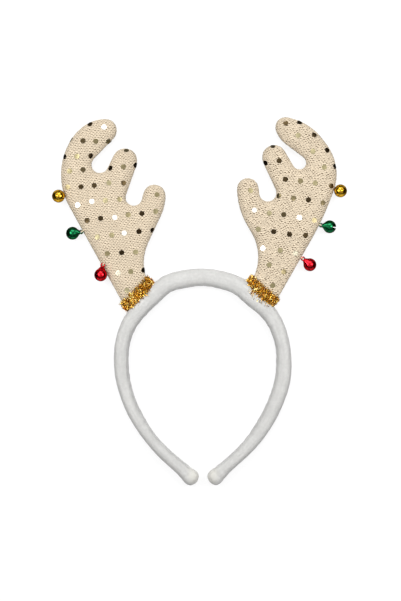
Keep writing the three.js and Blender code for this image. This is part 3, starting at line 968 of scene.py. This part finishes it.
def wound_strips(side, hoop, local, settings, rng):
    """Points and tone of each strip of a garland, without those that would stand in the cloth."""
    node = f"{side}_tinsel"
    cloths = (hoop, surface(merged(f"{side}_antler")))
    middle, half_length, outward = garland_line(node, hoop)
    places, tones = [], []
    for place, normal in zip(*surface_samples(node, 4 * settings.strips, rng)):
        place, normal = Vector(place), Vector(normal)
        start = place + normal * CAST_LIFT
        if any(cloth.ray_cast(start, normal, NEAR_CLOTH)[0] is not None for cloth in cloths):
            continue
        face = normal - outward * normal.dot(outward)
        if face.length < LEAST_FACING:
            continue
        face.normalize()
        spread = rng.choice((-1, 1)) * rng.uniform(LEAST_SPREAD, WIDEST_SPREAD)
        sideways = outward.cross(face) * rng.normal(0, SIDEWAYS_SPREAD)
        direction = (face * math.cos(spread) + outward * math.sin(spread) + sideways).normalized()
        to_band = min(max((middle - place).dot(outward) / HALF_GARLAND, 0), 1)
        root = place - normal * ROOT_DEPTH - outward * (OVER_BAND[side] * to_band)
        over = SKINS["headband"].ray_cast(Vector((root.x, root.y, CAST_FROM)), -UP)[0]
        if normal.z > UPWARD_FACING and to_band > 0 and over is not None:
            root.z = max(root.z, over.z - NAP_DEPTH)
        places.append(strip_points(local, root, direction, face, settings, rng))
        to_end = abs((place - middle).dot(outward.cross(UP))) / half_length
        tones.append(rng.uniform(0, 1) * (MIDDLE_TONE - END_DARKENING * min(to_end, 1) ** 2))
        if len(places) == settings.strips:
            break
    return places, tones


def foil_finish():
    finish = Finish("Gold foil", Metallic=1.0, Roughness=0.26)
    return finish.show(Base_Color=finish.ramp(finish.attribute("tone", "Fac"), FOIL_COLOURS))


class HEADBAND_OT_tinsel(bpy.types.Operator):
    """Wind the tinsel round the foot of each antler"""

    bl_idname = "headband.tinsel"
    bl_label = "Tinsel collars"

    def execute(self, context):
        settings = context.scene.headband_tinsel
        finish = foil_finish()
        template = strip_template()
        local = [tuple(vert.co) for vert in template.verts]
        hoop = surface(merged("headband"))
        for number, side in enumerate(SIDES):
            node = f"{side}_tinsel"
            rng = np.random.default_rng(settings.seed + number)
            places, tones = wound_strips(side, hoop, local, settings, rng)
            strips = joined_copies(node, template, places)
            store(strips, "tone", np.repeat(tones, len(local)))
            bm = bmesh_of(strips)
            bm.from_mesh(collar_core(node))
            finished(f"{side}_tinsel_foil", mesh_of(bm, node), finish, "gold_foil", node)
        template.free()
        return {"FINISHED"}


# Bells, with the angle in degrees that their slits make with the plane of the loop, and how wide they gape
Slits = namedtuple("Slits", "turn width")
CLOSED = Slits(45, 0.5 * MM)
GAPING = Slits(0, 1.1 * MM)
SLITS = {"right_green_bell": GAPING}
CLEARANCE = 0.3 * MM
BELL_STEPS = 40
BELL_ARC = 18
NECK_HALF = 3.4 * MM
NECK_TIP = 1.4 * MM
NECK_HOLLOW = 0.1 * MM
NECK_STEPS = 4
NECK_CAP = 0.2 * MM
SLIT_FLOOR = 0.6 * MM
SLIT_ROD_SIDES = 24
LOOP_STEPS = 28
WIRE_STEPS = 12
BALL_LEVEL = 3


def spun(profile, steps):
    """A closed solid of revolution round Z, from a profile that starts and ends on the axis."""
    bm = bmesh.new()
    verts = [bm.verts.new((radius, 0, height)) for radius, height in profile]
    edges = [bm.edges.new(pair) for pair in zip(verts, verts[1:])]
    bmesh.ops.spin(bm, geom=verts + edges, cent=(0, 0, 0), axis=(0, 0, 1), angle=math.tau, steps=steps,
                   use_merge=True)
    bmesh.ops.remove_doubles(bm, verts=bm.verts, dist=MERGE)
    bmesh.ops.recalc_face_normals(bm, faces=bm.faces)
    return bm


def ball_profile(radius, last_height):
    last = math.asin(max(-1, last_height / radius))
    angles = [math.pi / 2 + (last - math.pi / 2) * k / BELL_ARC for k in range(BELL_ARC + 1)]
    return [(radius * math.cos(angle) if k else 0, radius * math.sin(angle))
            for k, angle in enumerate(angles)]


def ring(radius, wire, steps, wire_steps):
    """A ring of wire in the XZ plane, round the origin."""
    bm = bmesh.new()
    start = Matrix.Translation((radius, 0, 0))
    circle = bmesh.ops.create_circle(bm, segments=wire_steps, radius=wire / 2, matrix=start)["verts"]
    bmesh.ops.spin(bm, geom=circle + list(bm.edges), cent=(0, 0, 0), axis=(0, 1, 0), angle=math.tau,
                   steps=steps, use_merge=True)
    bmesh.ops.recalc_face_normals(bm, faces=bm.faces)
    return bm


def cut(target, tool, operation):
    """Joins or cuts a work object with another, which is then removed."""
    boolean = target.modifiers.new(operation, "BOOLEAN")
    boolean.operation = operation
    boolean.solver = "EXACT"
    boolean.object = tool
    target.data = baked(target)
    target.modifiers.clear()
    bpy.data.objects.remove(tool)


def slot_cutter(size, centre):
    bm = bmesh.new()
    bmesh.ops.create_cube(bm, size=1.0, matrix=Matrix.Translation(centre) @ Matrix.Diagonal((*size, 1)))
    return bm


def rod_cutter(diameter, length, matrix):
    bm = bmesh.new()
    bmesh.ops.create_cone(bm, cap_ends=True, segments=SLIT_ROD_SIDES, radius1=diameter / 2,
                          radius2=diameter / 2, depth=length, matrix=matrix)
    return bm


def bell_shell(settings, slits):
    """A bell round the origin, its slits up and its loop below."""
    neck_height = -math.sqrt(settings.radius ** 2 - NECK_HALF ** 2)
    tip = -(settings.reach - settings.loop_radius)
    shares = [step / NECK_STEPS for step in range(1, NECK_STEPS + 1)]
    flare = [(NECK_HALF * (1 - share) + NECK_TIP * share - NECK_HOLLOW * math.sin(math.pi * share),
              neck_height + (tip - neck_height) * share) for share in shares]
    outline = ball_profile(settings.radius, neck_height) + flare + [(0, tip - NECK_CAP)]
    shell = work_solid("bell", spun(outline, BELL_STEPS))
    hollow_radius = settings.radius - settings.wall
    hollow = ball_profile(hollow_radius, -hollow_radius)
    hollow[-1] = (0, -hollow_radius)
    cut(shell, work_solid("hollow", spun(hollow, BELL_STEPS)), "DIFFERENCE")
    loop = ring(settings.loop_radius, settings.wire, LOOP_STEPS, WIRE_STEPS)
    bmesh.ops.translate(loop, verts=loop.verts, vec=(0, 0, -settings.reach))
    cut(shell, work_solid("loop", loop), "UNION")
    width = 3 * settings.radius
    for turn in (math.radians(slits.turn), math.radians(slits.turn + 90)):
        slab = slot_cutter((width, slits.width, width), (0, 0, SLIT_FLOOR + width / 2))
        rod = rod_cutter(settings.hole, width,
                         Matrix.Translation((0, 0, SLIT_FLOOR)) @ Matrix.Rotation(math.pi / 2, 4, "Y"))
        for tool in (slab, rod):
            bmesh.ops.rotate(tool, verts=tool.verts, cent=(0, 0, 0), matrix=Matrix.Rotation(turn, 3, "Z"))
            cut(shell, work_solid("cutter", tool), "DIFFERENCE")
    mesh = shell.data
    bpy.data.objects.remove(shell)
    return mesh


def bell_place(node, settings):
    """Where a CAD bell lies: its middle, and a matrix whose Z is its axis."""
    bm = merged(node)
    points = np.array([vert.co for vert in bm.verts])
    bm.free()
    low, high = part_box(node.replace("bell", "clapper"))
    middle = (low + high) / 2 + UP * (settings.radius - settings.wall - (high.z - low.z) / 2 - CLEARANCE)
    offsets = points - np.array(middle)
    axis = Vector(np.linalg.eigh(offsets.T @ offsets)[1][:, -1])
    heights = offsets @ np.array(axis)
    if heights.max() > -heights.min():
        axis.negate()
    sideways = UP.cross(axis).normalized()
    turn = Matrix((sideways, axis.cross(sideways), axis)).transposed().to_4x4()
    return Matrix.Translation(middle) @ turn


def paint_finish(name, colour, roughness):
    finish = Finish(name, Metallic=1.0, Specular_Tint=(0.1, 0.1, 0.1), Coat_Weight=0.1, Coat_Roughness=0.06)
    grain = finish.grain(900.0, 3.0)
    wear = finish.grain(260.0, 2.0)
    shade = finish.mix(finish.smooth(wear, 0.4, 0.75) * 0.35, colour, shaded(colour, 0.6))
    rough = grain * 0.08 + (roughness - 0.04)
    return finish.show(Base_Color=shade, Roughness=rough, Normal=finish.bump(grain, 0.03 * MM, 0.5))


def steel_finish():
    finish = Finish("Clapper steel", Metallic=1.0)
    grain = finish.grain(1500.0, 3.0)
    colour = finish.mix(grain, (0.32, 0.31, 0.3), (0.5, 0.5, 0.5))
    return finish.show(Base_Color=colour, Roughness=grain * 0.3 + 0.2)


def thread_finish():
    finish = Finish("Thread", Roughness=0.8)
    twist = finish.grain(3000.0, 2.0)
    colour = finish.mix(twist, (0.5, 0.38, 0.25), (0.75, 0.64, 0.48))
    return finish.show(Base_Color=colour)


# Stitches
STITCH_SWAYS = (-0.35, 0.0, 0.35)
STITCH_SIDES = 6
STITCH_WIRE = 0.35 * MM
STITCH_GRIP = 1.0 * MM


def bell_stitches(place, skin, settings):
    """Turns of thread through a bell's loop and the rim of the antler."""
    loop = place @ Vector((0, 0, -settings.reach))
    far = place @ Vector((0, 0, -(settings.reach + settings.loop_radius)))
    seat, normal, _, _ = skin.find_nearest(far)
    anchor = seat - normal * STITCH_GRIP
    reach = anchor - loop
    wide = place.to_3x3() @ Vector((0, 1, 0))
    wide = (wide - reach.normalized() * wide.dot(reach.normalized())).normalized()
    joined = bmesh.new()
    for sway in STITCH_SWAYS:
        length = reach.length + STITCH_WIRE
        turn = ring(0.5, STITCH_WIRE / length, LOOP_STEPS, STITCH_SIDES)
        ahead = reach.normalized()
        basis = (Matrix((ahead, ahead.cross(wide), wide)).transposed() * length).to_4x4()
        tilt = Matrix.Rotation(sway, 4, "Z")
        bmesh.ops.transform(turn, verts=turn.verts,
                            matrix=Matrix.Translation((loop + anchor) / 2) @ basis @ tilt)
        mesh = mesh_of(turn, "turn")
        joined.from_mesh(mesh)
        bpy.data.meshes.remove(mesh)
    for vert in joined.verts:
        vert.co.z = max(vert.co.z, TABLE_GAP)
    return joined


class HEADBAND_OT_bells(bpy.types.Operator):
    """Make the six bells, their balls and the threads that hold them"""

    bl_idname = "headband.bells"
    bl_label = "Bells"

    def execute(self, context):
        settings = context.scene.headband_bells
        shells = {slits: bell_shell(settings, slits) for slits in (CLOSED, GAPING)}
        steel, thread = steel_finish(), thread_finish()
        paints = {
            "gold": paint_finish("Gold plate", settings.gold, 0.16),
            "green": paint_finish("Green paint", settings.green, 0.18),
            "red": paint_finish("Red paint", settings.red, 0.18),
        }
        for side in SIDES:
            for colour in COLOURS:
                node = f"{side}_{colour}_bell"
                place = bell_place(node, settings)
                mesh = shells[SLITS.get(node, CLOSED)].copy()
                mesh.transform(place)
                finished(f"{node}_shell", mesh, paints[colour], f"{colour}_bell", node)
                ball_node = f"{side}_{colour}_clapper"
                low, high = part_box(ball_node)
                ball = bmesh.new()
                bmesh.ops.create_icosphere(ball, subdivisions=BALL_LEVEL, radius=(high.x - low.x) / 2,
                                           matrix=Matrix.Translation((low + high) / 2))
                finished(f"{ball_node}_ball", mesh_of(ball, ball_node), steel, "clapper_steel", ball_node)
                stitches = bell_stitches(place, SKINS[f"{side}_antler"], settings)
                finished(f"{side}_{colour}_thread", mesh_of(stitches, "thread"), thread, "beige_knit")
        return {"FINISHED"}


# Stage
CAMERA_SHIFT = (0.73 * MM, 0.24 * MM)
Softbox = namedtuple("Softbox", "place size power")
SOFTBOXES = {
    "left softbox": Softbox((-0.4, 0.09, 0.56), (0.22, 0.27), 1.95),
    "right softbox": Softbox((0.4, 0.09, 0.56), (0.22, 0.27), 1.95),
    "back softbox": Softbox((0.0, 1.2, 1.2), (1.1, 0.7), 11.0),
}

# The way to the brightest spot of the studio, and its glow from the horizon, or below it, up to that spot
OVERHEAD = (0.0, 0.26, 0.966)
GLOW = ((0.0, 0.8), (0.05, 0.12), (0.4, 0.15), (0.78, 0.92), (1.0, 1.15))

# Wall panels, darker and brighter, and flags that darken both sides
PANEL_SHADES = (0.55, 1.35)
PANEL_EDGE = (0.42, 0.56)
FLAG_SHADE = 0.08
FLAG_EDGE = (0.62, 0.86)


def grey(level):
    return (level, level, level)


def add_softbox(name, box, aim):
    light = bpy.data.lights.new(name, "AREA")
    light.shape = "RECTANGLE"
    light.size, light.size_y = box.size
    light.energy = box.power
    obj = work_object(name, light)
    obj.location = box.place
    obj.rotation_euler = (Vector(aim) - Vector(box.place)).to_track_quat("-Z", "Y").to_euler()


def studio():
    """The world: a glow that brightens overhead, broken into panels and dark at the sides."""
    world = bpy.data.worlds.new("Studio")
    world.use_nodes = True
    nodes = Nodes(world.node_tree)
    way = nodes.add("ShaderNodeTexCoord", output="Generated")
    height = nodes.add("ShaderNodeVectorMath", {"operation": "DOT_PRODUCT"}, {0: way, 1: OVERHEAD},
                       output="Value")
    glow = nodes.ramp(height, tuple((position, grey(level)) for position, level in GLOW))
    panels = nodes.smooth(nodes.noise(way, 4.0, 0.0), *PANEL_EDGE)
    patched = nodes.mix(panels, *(grey(shade) for shade in PANEL_SHADES))
    beside = nodes.axis(way, "X").size()
    flagged = nodes.mix(nodes.smooth(beside, *FLAG_EDGE), patched, grey(FLAG_SHADE))
    light = nodes.add("ShaderNodeVectorMath", {"operation": "MULTIPLY"}, {0: glow, 1: flagged})
    nodes.feed(world.node_tree.nodes["Background"].inputs["Color"], light)
    return world


class HEADBAND_OT_stage(bpy.types.Operator):
    """Set the floor, the light and the camera"""

    bl_idname = "headband.stage"
    bl_label = "Stage"

    def execute(self, context):
        settings = context.scene.headband_stage
        low, high = CAD_BOX
        middle = (low + high) / 2
        bm = bmesh.new()
        bmesh.ops.create_grid(bm, x_segments=2, y_segments=2, size=settings.across / 2)
        floor = work_solid("floor", bm)
        finish = Finish("Floor", Roughness=0.9, Specular_IOR_Level=0.1, Emission_Color=(1, 1, 1),
                        Emission_Strength=settings.floor_glow)
        floor.data.materials.append(finish.show(Base_Color=settings.floor_colour))
        floor.visible_glossy = floor.visible_diffuse = False
        for name, box in SOFTBOXES.items():
            add_softbox(name, box, middle)
        context.scene.world = studio()
        context.scene.view_settings.view_transform = "Standard"
        camera = bpy.data.cameras.new("camera")
        camera.lens = settings.lens
        holder = work_object("camera", camera)
        distance = settings.view_height * settings.lens / camera.sensor_width
        holder.location = (*CAMERA_SHIFT, distance + high.z / 2)
        context.scene.camera = holder
        return {"FINISHED"}


STEPS = (
    HEADBAND_OT_stage,
    HEADBAND_OT_roll,
    HEADBAND_OT_antlers,
    HEADBAND_OT_dots,
    HEADBAND_OT_tinsel,
    HEADBAND_OT_bells,
)


class HEADBAND_PT_panel(bpy.types.Panel):
    bl_label = "Headband"
    bl_idname = "HEADBAND_PT_panel"
    bl_space_type = "VIEW_3D"
    bl_region_type = "UI"
    bl_category = "Headband"

    def draw(self, context):
        for step in STEPS:
            self.layout.operator(step.bl_idname)


CLASSES = (*SETTINGS.values(), *STEPS, HEADBAND_PT_panel)


def register():
    for cls in CLASSES:
        bpy.utils.register_class(cls)
    for name, group in SETTINGS.items():
        setattr(bpy.types.Scene, name, PointerProperty(type=group))


def unregister():
    for name in SETTINGS:
        delattr(bpy.types.Scene, name)
    for cls in reversed(CLASSES):
        bpy.utils.unregister_class(cls)


def main():
    register()
    for step in STEPS:
        package, name = step.bl_idname.split(".")
        getattr(getattr(bpy.ops, package), name)()


if __name__ == "__main__":
    main()
